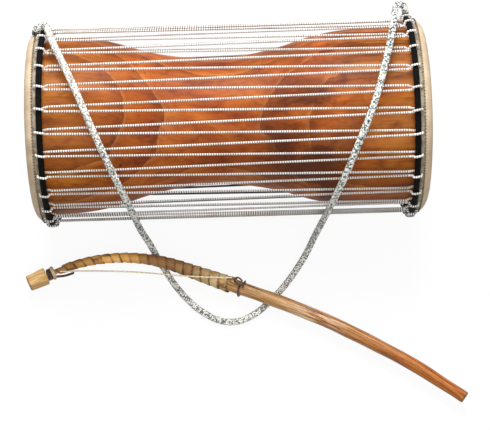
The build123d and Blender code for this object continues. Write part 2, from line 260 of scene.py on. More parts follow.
def mesh_over(name, strands, marks=()):
    """One mesh over strands, each a list of rings of corners, with marks as named numbers for each ring."""
    corners, faces = [], []
    values = {mark: [] for mark in marks}
    for strand in strands:
        count = len(strand[0][0])
        first = len(corners)
        for ring, *ring_marks in strand:
            corners.extend(ring)
            for mark, value in zip(marks, ring_marks):
                values[mark].extend(value if isinstance(value, list) else [value] * count)
        for row in range(len(strand) - 1):
            low = first + row * count
            for column in range(count):
                following = (column + 1) % count
                faces.append((low + column, low + following, low + count + following, low + count + column))
        faces.append(tuple(range(first + count - 1, first - 1, -1)))
        faces.append(tuple(range(len(corners) - count, len(corners))))
    mesh = bpy.data.meshes.new(name)
    mesh.from_pydata(corners, [], faces)
    for mark in marks:
        mesh.attributes.new(mark, "FLOAT", "POINT").data.foreach_set("value", values[mark])
    piece = bpy.data.objects.new(name, mesh)
    scene.collection.objects.link(piece)
    return piece


def twisted_cord(points, diameter, lay, first_up=(0, 0, 1), groove_shade=1.0):
    """Rings of a tightly twisted cord along a line, with crests that meet in a V on its upper side.
    The crests are coarser than real ones, so that they show, and the marks tell how deep each corner lies,
    scaled by how much painted shade its grooves get."""
    strand = []
    for run, point, up, side in frames_along(points, first_up):
        ring, dips = [], []
        for corner in range(CORD_SIDES):
            angle = 2 * pi * corner / CORD_SIDES
            slant = CREST_SLANT * min(angle, 2 * pi - angle)
            dip = 0.5 - 0.5 * cos(2 * pi * run / lay + slant)
            reach = diameter / 2 * (1.0 - CORD_GROOVE * dip)
            ring.append(point + (up * cos(angle) + side * sin(angle)) * reach)
            dips.append(dip * groove_shade)
        strand.append((ring, dips))
    return strand


def round_strand(points, diameter):
    """Rings of a round thong along a line, drawn in a little at its ends."""
    strand = []
    frames = frames_along(points)
    angles = [2 * pi * corner / THONG_SIDES for corner in range(THONG_SIDES)]
    for index, (run, point, up, side) in enumerate(frames):
        reach = diameter / 2 * (THONG_END if index in (0, len(frames) - 1) else 1.0)
        strand.append(([point + (up * cos(a) + side * sin(a)) * reach for a in angles], run))
    return strand


def braided_strands(points):
    """Strands of the round braid: half of them turn one way and half the other, over one and under one."""
    half = ROPE_STRANDS // 2
    thick, wide, weave = 0.11 * ROPE_DRAWN, 0.125 * ROPE_DRAWN, 0.035 * ROPE_DRAWN
    middle = ROPE_DRAWN / 2 - thick - weave
    angles = [2 * pi * corner / STRAND_SIDES for corner in range(STRAND_SIDES)]
    dips = [0.5 - 0.5 * cos(a) for a in angles]
    frames = frames_along(points)
    strands = []
    for number in range(ROPE_STRANDS):
        way = 1 if number < half else -1
        strand = []
        for run, point, up, side in frames:
            turn = 2 * pi * (number % half) / half + way * 2 * pi * run / ROPE_LAY
            outward = up * cos(turn) + side * sin(turn)
            across = side * cos(turn) - up * sin(turn)
            centre = point + outward * (middle + way * weave * cos(half * turn))
            ring = [centre + outward * thick * cos(a) + across * wide * sin(a) for a in angles]
            strand.append((ring, float(number), run, dips))
        strands.append(strand)
    return strands


def on_ring(along, angle, radius):
    """A point around the drum's axis, with the angle counted from straight down, towards the back."""
    return Vector((along, radius * sin(angle), AXIS_HEIGHT - radius * cos(angle)))


def around(along, angle, lift):
    """A point that far outside the hoop, in mm, with the angle in degrees from the back, upwards."""
    radius = REST_RADIUS + lift * MM
    turn = radians(angle)
    return Vector((along * MM, radius * cos(turn), AXIS_HEIGHT + radius * sin(turn)))


def copies_round(piece, count, first=0.0):
    """Copies of a piece, each with its own mesh, turned about the drum's axis and joined."""
    to_axis = Matrix.Translation((0, 0, AXIS_HEIGHT))
    bpy.ops.object.select_all(action="DESELECT")
    for number in range(count):
        turned = piece.copy()
        turned.data = piece.data.copy()
        turn = Matrix.Rotation(first + 2 * pi * number / count, 4, "X")
        turned.data.transform(to_axis @ turn @ to_axis.inverted())
        scene.collection.objects.link(turned)
        turned.select_set(True)
        bpy.context.view_layer.objects.active = turned
    name = piece.name
    bpy.data.objects.remove(piece)
    bpy.ops.object.join()
    joined = bpy.context.view_layer.objects.active
    joined.name = name
    joined.select_set(False)
    return joined


# Strap: one braided rope, on the same route as its solid
STRAP_ROUTE = [
    around(-172.5, 57.0, 7.2),
    around(-169.5, 63.5, 7.0),
    around(-162.0, 75.0, 4.6),
    around(-146.0, 96.0, 4.0),
    around(-128.5, 121.0, 4.0),
    around(-111.0, 146.0, 4.0),
    around(-97.0, 171.0, 4.5),
    Vector((-91.5, -101.5, 73.0)) * MM,
    Vector((-87.5, -99.0, 46.0)) * MM,
    Vector((-84.0, -98.0, 28.0)) * MM,
    Vector((-80.5, -100.0, 14.0)) * MM,
    Vector((-76.0, -107.0, 6.4)) * MM,
    Vector((-69.5, -118.0, 4.2)) * MM,
    Vector((-61.5, -132.0, 4.0)) * MM,
    Vector((-50.0, -148.0, 4.0)) * MM,
    Vector((-34.0, -164.5, 4.0)) * MM,
    Vector((-14.0, -176.5, 4.0)) * MM,
    Vector((6.5, -177.0, 4.0)) * MM,
    Vector((27.0, -165.0, 4.0)) * MM,
    Vector((46.0, -146.0, 4.0)) * MM,
    Vector((59.0, -129.5, 4.1)) * MM,
    Vector((68.0, -116.5, 5.2)) * MM,
    Vector((74.5, -107.5, 10.0)) * MM,
    Vector((79.0, -102.5, 21.0)) * MM,
    Vector((83.0, -100.5, 39.0)) * MM,
    Vector((88.0, -101.0, 66.0)) * MM,
    around(94.5, 178.0, 4.5),
    around(107.0, 155.0, 4.0),
    around(122.5, 132.0, 4.0),
    around(139.5, 109.0, 4.0),
    around(151.5, 86.0, 4.0),
    around(160.5, 64.0, 4.5),
    around(165.5, 45.0, 6.5),
]
strap_points = line_of(STRAP_ROUTE, 22)
strap = mesh_over("strap_braid", braided_strands(strap_points), ("strand", "run", "dip"))
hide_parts("strap")
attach(strap, "drum")

# Knots: the rope goes on, on the left over the hoop to the hem and on the right in a bight onto the hoop
HEM_SEAT = (HEM_TOP - REST_RADIUS) / MM
left_lead = (STRAP_ROUTE[0] - STRAP_ROUTE[1]).normalized()
right_lead = (STRAP_ROUTE[-1] - STRAP_ROUTE[-2]).normalized()
LEFT_KNOT_ROUTE = [
    STRAP_ROUTE[0],
    STRAP_ROUTE[0] + left_lead * KNOT_LEAD,
    around(-179.5, 51.4, 5.5),
    around(-185.5, 51.4, 3.0),
    around(-185.5, 51.4, HEM_SEAT),
]
RIGHT_KNOT_ROUTE = [
    STRAP_ROUTE[-1],
    STRAP_ROUTE[-1] + right_lead * KNOT_LEAD,
    around(169.5, 36.0, 11.5),
    around(174.5, 32.6, 12.0),
    around(178.5, 32.1, 8.5),
    around(178.5, 32.1, 0.0),
]
for name, route in (("left", LEFT_KNOT_ROUTE), ("right", RIGHT_KNOT_ROUTE)):
    strands = []
    for strand in braided_strands(line_of(route, 12)):
        end_run = strand[-1][2]
        rows = []
        for ring, number, run, dips in strand:
            sealed = max(0.0, 1 - (end_run - run) / SEALED_END)
            rows.append((ring, number, run + STRAP_LENGTH, dips, sealed))
        strands.append(rows)
    knot = mesh_over(f"{name}_strap_hitch", strands, ("strand", "run", "dip", "sealed"))
    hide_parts(f"{name}_strap_knot")
    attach(knot, f"{name}_hoop")

# Tension cords, a quarter of them in each piece: each left loop runs to the two right loops beside it
for number, name in enumerate(("under", "front", "over", "back")):
    strands = []
    for loop in range(LOOPS_A_QUARTER * number, LOOPS_A_QUARTER * (number + 1)):
        first_angle = (loop - LOOPS_A_QUARTER // 2) * PITCH_ANGLE
        for left_angle, right_angle in (
            (PITCH_ANGLE / 2 - LEG_ANGLE, LEG_ANGLE),
            (PITCH_ANGLE / 2 + LEG_ANGLE, PITCH_ANGLE - LEG_ANGLE),
        ):
            start = on_ring(-RUN_END, left_angle + first_angle, RUN_RADIUS)
            end = on_ring(RUN_END, right_angle + first_angle, RUN_RADIUS)
            points = [start.lerp(end, step / RUN_STEPS) for step in range(RUN_STEPS + 1)]
            outward = start + end - Vector((0, 0, 2 * AXIS_HEIGHT))
            strands.append(twisted_cord(points, CORD_DIAMETER, CORD_LAY, outward))
    cords = mesh_over(f"tension_cords_{name}", strands, ("dip",))
    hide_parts("tension_cords")
    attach(cords, "drum")
    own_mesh(cords)

# Lacing loops: under the hoop, up through the hem, back over the hoop and down to the run
for side, name, first_angle in SIDES:
    loop_route = [
        Vector((side * (HOOP_AT + out), across, AXIS_HEIGHT - radius))
        for out, across, radius in (
            (-LEG_REACH, -LEG_SPREAD / 2, RUN_RADIUS),
            (LOOP_CUT - CORD_OFFSET, -LEG_SPREAD / 4, UNDER_RADIUS),
            (CORD_OFFSET, 0, UNDER_RADIUS),
            (CORD_OFFSET, 0, LOOP_RADIUS - LOOP_CUT),
            (CORD_OFFSET - LOOP_CUT, 0, LOOP_RADIUS),
            (LOOP_CUT - CORD_OFFSET, LEG_SPREAD / 4, LOOP_RADIUS),
            (-CORD_OFFSET, LEG_SPREAD / 4, LOOP_RADIUS - LOOP_CUT),
            (-CORD_OFFSET, LEG_SPREAD / 2, RUN_RADIUS),
            (-LEG_REACH, LEG_SPREAD / 2, RUN_RADIUS),
        )
    ]
    loop_strand = twisted_cord(line_of(loop_route, 14), CORD_DIAMETER, CORD_LAY, groove_shade=LOOP_GROOVE_SHADE)
    loop = mesh_over(f"{name}_lacing", [loop_strand], ("dip",))
    loops = copies_round(loop, LACING_COUNT, first_angle)
    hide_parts(f"{name}_lacing_loops")
    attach(loops, f"{name}_hoop")

# Hoop wrappings: a ring of black cloth wound round the hoop in slanted turns
for side, name, first_angle in SIDES:
    bpy.ops.object.select_all(action="DESELECT")
    bpy.ops.mesh.primitive_torus_add(
        major_segments=4 * WRAP_TURNS,
        minor_segments=12,
        major_radius=HOOP_RADIUS,
        minor_radius=HOOP_THICKNESS / 2,
        location=(side * HOOP_AT, 0, AXIS_HEIGHT),
        rotation=(0, pi / 2, 0),
    )
    wrapping = bpy.context.object
    wrapping.name = f"{name}_hoop_wrapping"
    bpy.ops.object.transform_apply(location=True, rotation=True, scale=True)
    for vertex in wrapping.data.vertices:
        place = vertex.co - Vector((0, 0, AXIS_HEIGHT))
        outward = Vector((0, place.y, place.z)).normalized()
        centre = outward * HOOP_RADIUS + Vector((side * HOOP_AT, 0, 0))
        spoke = place - centre
        round_drum = atan2(place.y, -place.z) / (2 * pi)
        round_hoop = atan2(spoke.x, spoke.dot(outward)) / (2 * pi)
        turn = round_drum * WRAP_TURNS + round_hoop
        ridge = turn - floor(turn)
        vertex.co = centre + spoke * (WRAP_LOW + WRAP_RIDGE * ridge) + Vector((0, 0, AXIS_HEIGHT))
    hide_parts(f"{name}_hoop_wrap")
    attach(wrapping, f"{name}_hoop")

# Heads: a stretched skin over each rim, folded to a hem that the lacing pierces.
# The profile gives the distance from the drum's middle and the radius, in mm
HEAD_PROFILE = [
    (193.8, 0.0), (193.8, 20.0), (193.8, 40.0), (193.8, 60.0), (193.8, 75.0), (193.8, 84.0),
    (193.3, 87.6), (192.2, 90.2), (190.6, 92.5), (188.6, 94.4), (186.7, 95.6), (186.0, 95.8),
    (185.5, 95.6), (185.1, 96.0), (184.4, 96.6), (183.2, 96.9), (182.0, 96.8), (181.4, 96.2), (181.4, 92.0),
]
SEAM_AT, SEAM_RADIUS = 185.5 * MM, 96.0 * MM
PULL_FROM, PULL_WIDTH = 86 * MM, 11 * MM
PULL_IN, PULL_BACK = 0.7 * MM, 0.5 * MM
for side, name, first_angle in SIDES:
    mesh = bpy.data.meshes.new(f"{name}_skin")
    corners = [(side * out * MM, 0, AXIS_HEIGHT - radius * MM) for out, radius in HEAD_PROFILE]
    mesh.from_pydata(corners, [(row, row + 1) for row in range(len(corners) - 1)], [])
    skin = bpy.data.objects.new(f"{name}_skin", mesh)
    scene.collection.objects.link(skin)
    bpy.ops.object.select_all(action="DESELECT")
    bpy.context.view_layer.objects.active = skin
    skin.select_set(True)
    bpy.ops.object.mode_set(mode="EDIT")
    bpy.ops.mesh.select_all(action="SELECT")
    bpy.ops.mesh.spin(steps=8 * LACING_COUNT, angle=2 * pi, center=(0, 0, AXIS_HEIGHT), axis=(1, 0, 0))
    bpy.ops.mesh.select_all(action="SELECT")
    bpy.ops.mesh.remove_doubles(threshold=0.02 * MM)
    bpy.ops.mesh.normals_make_consistent(inside=False)
    bpy.ops.object.mode_set(mode="OBJECT")
    # The lacing pulls the hem in at each loop, and the skin waves a little between them
    for vertex in skin.data.vertices:
        place = vertex.co - Vector((0, 0, AXIS_HEIGHT))
        radius = hypot(place.y, place.z)
        if radius > PULL_FROM:
            angle = atan2(place.y, -place.z) - first_angle
            near_loop = (0.5 + 0.5 * cos(angle * LACING_COUNT)) ** 2
            pull = near_loop * min(1.0, (radius - PULL_FROM) / PULL_WIDTH)
            outward = Vector((0, place.y, place.z)) / radius
            vertex.co -= outward * PULL_IN * pull
            vertex.co.x -= side * PULL_BACK * pull
    skin.select_set(False)
    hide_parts(f"{name}_head", f"{name}_head_hem")
    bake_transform(skin)

    # Stitches along the fold, each a slanted bead of thread
    bpy.ops.object.select_all(action="DESELECT")
    bpy.ops.mesh.primitive_ico_sphere_add(subdivisions=2, radius=1 * MM, location=(0, 0, 0))
    stitch = bpy.context.object
    stitch.name = f"{name}_hem_stitches"
    stitch.scale = STITCH_SHAPE
    stitch.rotation_euler = (0, radians(side * STITCH_TILT), radians(side * STITCH_SLANT))
    bpy.ops.object.transform_apply(location=True, rotation=True, scale=True)
    stitch.data.transform(Matrix.Translation((side * SEAM_AT, 0, AXIS_HEIGHT - SEAM_RADIUS)))
    stitches = copies_round(stitch, STITCH_COUNT)
    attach(stitches, f"{name}_hoop")


# Beater: the stick's bent line, as in its solid
def stick_line(place):
    """The point and direction on the stick's line at a distance along it, in mm."""
    x, y = BEATER_START
    heading = radians(NECK_ANGLE)
    left = place
    for length, radius in (
        (NECK_RUN, 0.0),
        (BOW_RUN, BOW_RADIUS),
        (STRAIGHT_RUN, 0.0),
        (STICK_LENGTH, END_RADIUS),
    ):
        part = min(left, length)
        if radius:
            x += radius * (sin(heading) - sin(heading - part / radius))
            y -= radius * (cos(heading) - cos(heading - part / radius))
            heading -= part / radius
        else:
            x += part * cos(heading)
            y += part * sin(heading)
        left -= part
        if left <= 0:
            break
    return Vector((x * MM, y * MM, BEATER_HEIGHT)), Vector((cos(heading), sin(heading), 0))


def stick_radius(place):
    """The stick's radius, in metres, at a distance along it in mm."""
    for (start, first), (end, last) in zip(STICK_STATIONS, STICK_STATIONS[1:]):
        if place <= end:
            return (first + (last - first) * (place - start) / (end - start)) / 2 * MM
    return STICK_STATIONS[-1][1] / 2 * MM


def stick_row(place, extra, rough):
    """A ring of the stick, uneven as it grew, with the marks for its grain: along, across and up."""
    centre, along = stick_line(place)
    up = Vector((0, 0, 1))
    side = along.cross(up)
    ring, across, height = [], [], []
    for corner in range(STICK_SIDES):
        angle = 2 * pi * corner / STICK_SIDES
        spot = Vector((place * KNOBBLES_ALONG, cos(angle) * KNOBBLES_ROUND, sin(angle) * KNOBBLES_ROUND))
        knobble = noise.noise(spot)
        reach = stick_radius(place) + (extra + rough * knobble) * MM
        ring.append(centre + (up * cos(angle) + side * sin(angle)) * reach)
        across.append(sin(angle) * reach)
        height.append(cos(angle) * reach)
    return ring, place * MM, across, height


stick_rows = [stick_row(0.6, extra=-1.0, rough=0.0)]
for step in range(1, STICK_STEPS):
    stick_rows.append(stick_row(STICK_END * step / STICK_STEPS, extra=-0.35, rough=0.7))
stick_rows.append(stick_row(STICK_END - 0.4, extra=-0.5, rough=0.5))
stick_rows.append(stick_row(STICK_END, extra=-1.2, rough=0.5))
stick = mesh_over("beater_branch", [stick_rows], ("run", "across", "height"))
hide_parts("beater_stick")
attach(stick, "beater")


# Flat strip, wound round the bowed half of the stick with one edge over the turn before
strip_rows = []
for step in range(STRIP_TURNS * STRIP_STEPS + 1):
    turn = step / STRIP_STEPS
    place = STRIP_START + STRIP_PITCH * turn
    centre, along = stick_line(place)
    up = Vector((0, 0, 1))
    outward = up * cos(2 * pi * turn) + along.cross(up) * sin(2 * pi * turn)
    wander = 1 + STRIP_WANDER * noise.noise(Vector((turn * WANDERS_A_TURN, STRIP_WIDTH, 0)))
    ring = []
    for across, height in STRIP_SECTION:
        reach = across * STRIP_WIDTH / 2 * wander
        base = stick_radius(max(0, place + reach)) + STRIP_CLEAR * MM
        rise = STRIP_THICKNESS * height + STRIP_LIFT * (0.5 + 0.5 * across)
        ring.append(centre + along * reach * MM + outward * (base + rise * MM))
    strip_rows.append((ring, turn, [abs(across) for across, height in STRIP_SECTION]))
strip = mesh_over("beater_wound_strip", [strip_rows], ("turn", "edge"))
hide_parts("beater_wrap")
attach(strip, "beater")

# Dark thong: wound at the handle with a curl, and behind the tip with a loose end
TIE_CURL = [
    Vector((x * MM, y * MM, BEATER_HEIGHT + z * MM))
    for x, y, z in (
        (10.5, -147.0, 8.0), (6.0, -144.5, 9.8), (2.0, -142.5, 9.6), (0.5, -139.0, 9.0),
        (3.0, -136.5, 8.6), (6.5, -137.5, 8.6), (9.0, -141.0, 8.4),
    )
]
BINDING_TAIL = [
    Vector((x * MM, y * MM, BEATER_HEIGHT + z * MM))
    for x, y, z in (
        (-179.5, -125.8, -0.5), (-173.5, -124.8, -2.7), (-167.5, -122.8, -4.2), (-161.7, -120.3, -4.6),
    )
]


def wound_thong(start, turns, pitch, diameter, lift):
    """Rings of a round thong wound on the stick, from a distance along it, with all sizes in mm."""
    points = []
    for step in range(turns * THONG_STEPS + 1):
        turn = step / THONG_STEPS
        centre, along = stick_line(start + pitch * turn)
        up = Vector((0, 0, 1))
        outward = up * cos(2 * pi * turn) + along.cross(up) * sin(2 * pi * turn)
        points.append(centre + outward * (stick_radius(start) + (lift + diameter / 2) * MM))
    return round_strand(points, diameter * MM)


tie_turn = wound_thong(start=213.4, turns=1, pitch=3.6, diameter=1.9, lift=0.1)
tie_curl = round_strand(line_of(TIE_CURL, 6), diameter=1.8 * MM)
tie = mesh_over("beater_handle_tie", [tie_turn, tie_curl], ("run",))
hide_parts("beater_tie")
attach(tie, "beater")
binding_turns = wound_thong(start=9.9, turns=2, pitch=2.0, diameter=2.9, lift=0.4)
binding_tail = round_strand(line_of(BINDING_TAIL, 6), diameter=2.6 * MM)
binding = mesh_over("beater_tip_thong", [binding_turns, binding_tail], ("run",))
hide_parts("beater_tip_binding")
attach(binding, "beater")

# Pale rawhide band, a rounded collar on the neck, uneven in bumps about 4 mm wide
bpy.ops.object.select_all(action="DESELECT")
bpy.ops.mesh.primitive_cylinder_add(vertices=28, radius=6.9 * MM, depth=3.8 * MM, end_fill_type="NGON")
band = bpy.context.object
band.name = "beater_rawhide_band"
bpy.ops.object.mode_set(mode="EDIT")
bpy.ops.mesh.select_all(action="SELECT")
bpy.ops.mesh.bevel(offset=1.1 * MM, segments=3)
bpy.ops.object.mode_set(mode="OBJECT")
for vertex in band.data.vertices:
    vertex.co *= 1 + 0.05 * noise.noise(vertex.co * 260)
band_centre, band_along = stick_line(BAND_AT)
band_turn = band_along.to_track_quat("Z", "Y").to_matrix().to_4x4()
band.data.transform(Matrix.Translation(band_centre) @ band_turn)
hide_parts("beater_tip_band")
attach(band, "beater")

# Carved tip block, a little wider towards the stick, with knife cuts about 9 mm wide.
# The seed keeps the cuts the same in every run
bpy.ops.object.select_all(action="DESELECT")
bpy.ops.mesh.primitive_cube_add(size=1)
tip = bpy.context.object
tip.name = "beater_carved_tip"
tip.scale = (13.0 * MM, 13.5 * MM, 20.0 * MM)
bpy.ops.object.transform_apply(location=True, rotation=True, scale=True)
bpy.ops.object.mode_set(mode="EDIT")
bpy.ops.mesh.select_all(action="SELECT")
bpy.ops.mesh.bevel(offset=1.3 * MM, segments=2)
bpy.ops.mesh.select_all(action="SELECT")
bpy.ops.mesh.subdivide(number_cuts=2)
bpy.ops.object.mode_set(mode="OBJECT")
noise.seed_set(KNIFE_SEED)
for vertex in tip.data.vertices:
    carve = noise.noise_vector(vertex.co * 110)
    vertex.co += Vector((carve.x, carve.y, 0)) * 0.5 * MM
    vertex.co.y *= 1 + 0.10 * vertex.co.z / (10 * MM)
tip_centre, tip_along = stick_line(0)
tip_turn = tip_along.to_track_quat("Z", "X").to_matrix().to_4x4()
tip.data.transform(Matrix.Translation(tip_centre - tip_along * 1.0 * MM) @ tip_turn)
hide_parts("beater_tip")
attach(tip, "beater")

# String across the bow
STRING_ROUTE = [
    Vector((-175.0, -121.6, 18.1)) * MM,
    Vector((-114.0, -122.5, 18.7)) * MM,
    Vector((-42.0, -134.5, 22.8)) * MM,
    Vector((-1.5, -137.5, 25.8)) * MM,
]
string_points = line_of(STRING_ROUTE, 60)
string = mesh_over("beater_bow_string", [twisted_cord(string_points, STRING_DRAWN, STRING_LAY)], ("dip",))
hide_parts("beater_string")
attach(string, "beater")


# Materials. A noise's Scale is one over the width of its spots, in metres

# Stained hardwood, turned and rubbed smooth: orange-brown, darker in patches, with growth lines cut slantwise
wood, tree, shader = start_material("stained_hardwood", Roughness=0.5, Specular_IOR_Level=0.22)
place = add_node(tree, "ShaderNodeTexCoord").outputs["Object"]
from_axis = add_node(
    tree, "ShaderNodeMapping", {"Vector": place, "Location": (0, 0, -AXIS_HEIGHT)}
).outputs[0]
split = add_node(tree, "ShaderNodeSeparateXYZ", {"Vector": from_axis})
tone = add_node(tree, "ShaderNodeMapping", {"Vector": from_axis, "Scale": (0.55, 1, 1)}).outputs[0]
tone_noise = add_node(
    tree,
    "ShaderNodeTexNoise",
    {"Vector": tone, "Scale": 1 / (76.92 * MM), "Detail": 4.0, "Roughness": 0.55, "Distortion": 0.8},
)
base = add_node(
    tree,
    "ShaderNodeValToRGB",
    {"Fac": tone_noise.outputs["Fac"]},
    ((0.28, "8a3c0c"), (0.43, "bb611a"), (0.56, "d87d2c"), (0.72, "e3994a")),
)
# Ochre towards both rims
end_reach = add_node(tree, "ShaderNodeMath", {0: split.outputs["X"]}, operation="ABSOLUTE")
ochre_share = add_node(
    tree,
    "ShaderNodeMapRange",
    {"Value": end_reach.outputs[0], "From Min": 70 * MM, "From Max": 170 * MM, "To Min": 0.0, "To Max": 0.7},
    interpolation_type="SMOOTHSTEP",
)
ochred = add_node(
    tree,
    "ShaderNodeMix",
    {0: ochre_share.outputs[0], 6: base.outputs["Color"], 7: linear("c47f26")},
    data_type="RGBA",
)
# Blotches of stain about 12 mm wide
blotches = add_node(
    tree,
    "ShaderNodeTexNoise",
    {"Vector": tone, "Scale": 1 / (11.765 * MM), "Detail": 5.0, "Roughness": 0.6, "Distortion": 0.6},
)
blotch_tone = add_node(
    tree,
    "ShaderNodeValToRGB",
    {"Fac": blotches.outputs["Fac"]},
    ((0.32, "a8764f"), (0.5, "f0e0d0"), (0.66, "ffffff")),
)
mottled = add_node(
    tree,
    "ShaderNodeMix",
    {0: 0.75, 6: ochred.outputs[2], 7: blotch_tone.outputs["Color"]},
    data_type="RGBA",
    blend_type="MULTIPLY",
)
# Growth lines about 12 mm apart, round a pith behind the drum's axis, so they bow towards the waist.
# At Scale 1 the wave repeats every 314 mm
pith = add_node(
    tree,
    "ShaderNodeMapping",
    {"Vector": from_axis, "Location": (0, -26 * MM, 46 * MM), "Rotation": (0, 0.03, -0.05)},
).outputs[0]
growth = add_node(
    tree,
    "ShaderNodeTexWave",
    {"Vector": pith, "Scale": 314 / 12, "Distortion": 2.8, "Detail": 2.0, "Detail Scale": 0.7},
    wave_type="RINGS",
    rings_direction="X",
    wave_profile="SAW",
)
growth_tone = add_node(
    tree,
    "ShaderNodeValToRGB",
    {"Fac": growth.outputs["Fac"]},
    ((0.0, "7f5842"), (0.40, "dcc3ae"), (0.85, "ffffff")),
)
ringed = add_node(
    tree,
    "ShaderNodeMix",
    {0: 0.5, 6: mottled.outputs[2], 7: growth_tone.outputs["Color"]},
    data_type="RGBA",
    blend_type="MULTIPLY",
)
pale_line = add_node(
    tree,
    "ShaderNodeMapRange",
    {"Value": growth.outputs["Fac"], "From Min": 0.90, "From Max": 0.99, "To Min": 0.0, "To Max": 0.2},
)
lined = add_node(
    tree,
    "ShaderNodeMix",
    {0: pale_line.outputs[0], 6: ringed.outputs[2], 7: linear("eab271")},
    data_type="RGBA",
)
# Dark heartwood patches about 50 mm wide, mostly towards the right bowl and short of its rim
patch_place = add_node(tree, "ShaderNodeMapping", {"Vector": from_axis, "Scale": (0.75, 0.8, 0.8)}).outputs[0]
patch_noise = add_node(
    tree,
    "ShaderNodeTexNoise",
    {"Vector": patch_place, "Scale": 1 / (50 * MM), "Detail": 5.0, "Roughness": 0.6, "Distortion": 0.8},
)
heartwood = add_node(
    tree,
    "ShaderNodeMapRange",
    {"Value": patch_noise.outputs["Fac"], "From Min": 0.36, "From Max": 0.58, "To Min": 0.0, "To Max": 0.95},
)
towards_right = add_node(
    tree,
    "ShaderNodeMapRange",
    {"Value": split.outputs["X"], "From Min": 0.0, "From Max": 60 * MM, "To Min": 0.2, "To Max": 1.0},
    interpolation_type="SMOOTHSTEP",
)
short_of_rim = add_node(
    tree,
    "ShaderNodeMapRange",
    {"Value": split.outputs["X"], "From Min": 85 * MM, "From Max": 135 * MM, "To Min": 1.0, "To Max": 0.3},
    interpolation_type="SMOOTHSTEP",
)
heartwood_band = add_node(
    tree, "ShaderNodeMath", {0: short_of_rim.outputs[0], 1: towards_right.outputs[0]}, operation="MULTIPLY"
)
heartwood_share = add_node(
    tree, "ShaderNodeMath", {0: heartwood.outputs[0], 1: heartwood_band.outputs[0]}, operation="MULTIPLY"
)
patched = add_node(
    tree,
    "ShaderNodeMix",
    {0: heartwood_share.outputs[0], 6: lined.outputs[2], 7: linear("54270f")},
    data_type="RGBA",
)
# Fibres along the drum, drawn about 1.6 mm wide so that they show
fibre_place = add_node(tree, "ShaderNodeMapping", {"Vector": from_axis, "Scale": (0.05, 1, 1)}).outputs[0]
fibre = add_node(
    tree,
    "ShaderNodeTexNoise",
    {"Vector": fibre_place, "Scale": 1 / (1.613 * MM), "Detail": 2.0, "Roughness": 0.6},
)
fibre_tone = add_node(
    tree, "ShaderNodeValToRGB", {"Fac": fibre.outputs["Fac"]}, ((0.3, "d8c4b4"), (0.62, "ffffff"))
)
fibred = add_node(
    tree,
    "ShaderNodeMix",
    {0: 0.6, 6: patched.outputs[2], 7: fibre_tone.outputs["Color"]},
    data_type="RGBA",
    blend_type="MULTIPLY",
)
# Small dark pin knots, one in about each 30 mm
pins = add_node(
    tree, "ShaderNodeTexVoronoi", {"Vector": from_axis, "Scale": 1 / (29.41 * MM), "Randomness": 1.0}
)
pin_spot = add_node(
    tree,
    "ShaderNodeMapRange",
    {"Value": pins.outputs["Distance"], "From Min": 0.03, "From Max": 0.075, "To Min": 0.8, "To Max": 0.0},
)
finished = add_node(
    tree,
    "ShaderNodeMix",
    {0: pin_spot.outputs[0], 6: fibred.outputs[2], 7: linear("3a1a10")},
    data_type="RGBA",
)
tree.links.new(finished.outputs[2], shader.inputs["Base Color"])
wood_bump = add_node(
    tree, "ShaderNodeBump", {"Height": fibre.outputs["Fac"], "Strength": 0.25, "Distance": 0.4 * MM}
)
tree.links.new(wood_bump.outputs["Normal"], shader.inputs["Normal"])


# Rawhide, scraped and stretched: cream and matt, mottled, greyer and grubby at the hem
rawhide, tree, shader = start_material("scraped_rawhide", Roughness=0.62)
place = add_node(tree, "ShaderNodeTexCoord").outputs["Object"]
mottle = add_node(
    tree,
    "ShaderNodeTexNoise",
    {"Vector": place, "Scale": 1 / (22.22 * MM), "Detail": 6.0, "Roughness": 0.65},
)
mottle_tone = add_node(
    tree,
    "ShaderNodeValToRGB",
    {"Fac": mottle.outputs["Fac"]},
    ((0.3, "bfa483"), (0.5, "d3bb9b"), (0.7, "e2cdb0")),
)
split = add_node(tree, "ShaderNodeSeparateXYZ", {"Vector": place})
end_reach = add_node(tree, "ShaderNodeMath", {0: split.outputs["X"]}, operation="ABSOLUTE")
hem_share = add_node(
    tree,
    "ShaderNodeMapRange",
    {
        "Value": end_reach.outputs[0],
        "From Min": 185.4 * MM,
        "From Max": 186.4 * MM,
        "To Min": 0.85,
        "To Max": 0.0,
    },
)
grime = add_node(tree, "ShaderNodeTexNoise", {"Vector": place, "Scale": 1 / (3.846 * MM), "Detail": 3.0})
hem_tone = add_node(
    tree, "ShaderNodeValToRGB", {"Fac": grime.outputs["Fac"]}, ((0.35, "4f4838"), (0.6, "8d8471"))
)
skin_colour = add_node(
    tree,
    "ShaderNodeMix",
    {0: hem_share.outputs[0], 6: mottle_tone.outputs["Color"], 7: hem_tone.outputs["Color"]},
    data_type="RGBA",
)
tree.links.new(skin_colour.outputs[2], shader.inputs["Base Color"])
# Pores, drawn about 1.4 mm apart so that they show
pores = add_node(tree, "ShaderNodeTexVoronoi", {"Vector": place, "Scale": 1 / (1.4286 * MM)})
skin_bump = add_node(
    tree, "ShaderNodeBump", {"Height": pores.outputs["Distance"], "Strength": 0.2, "Distance": 0.3 * MM}
)
tree.links.new(skin_bump.outputs["Normal"], shader.inputs["Normal"])
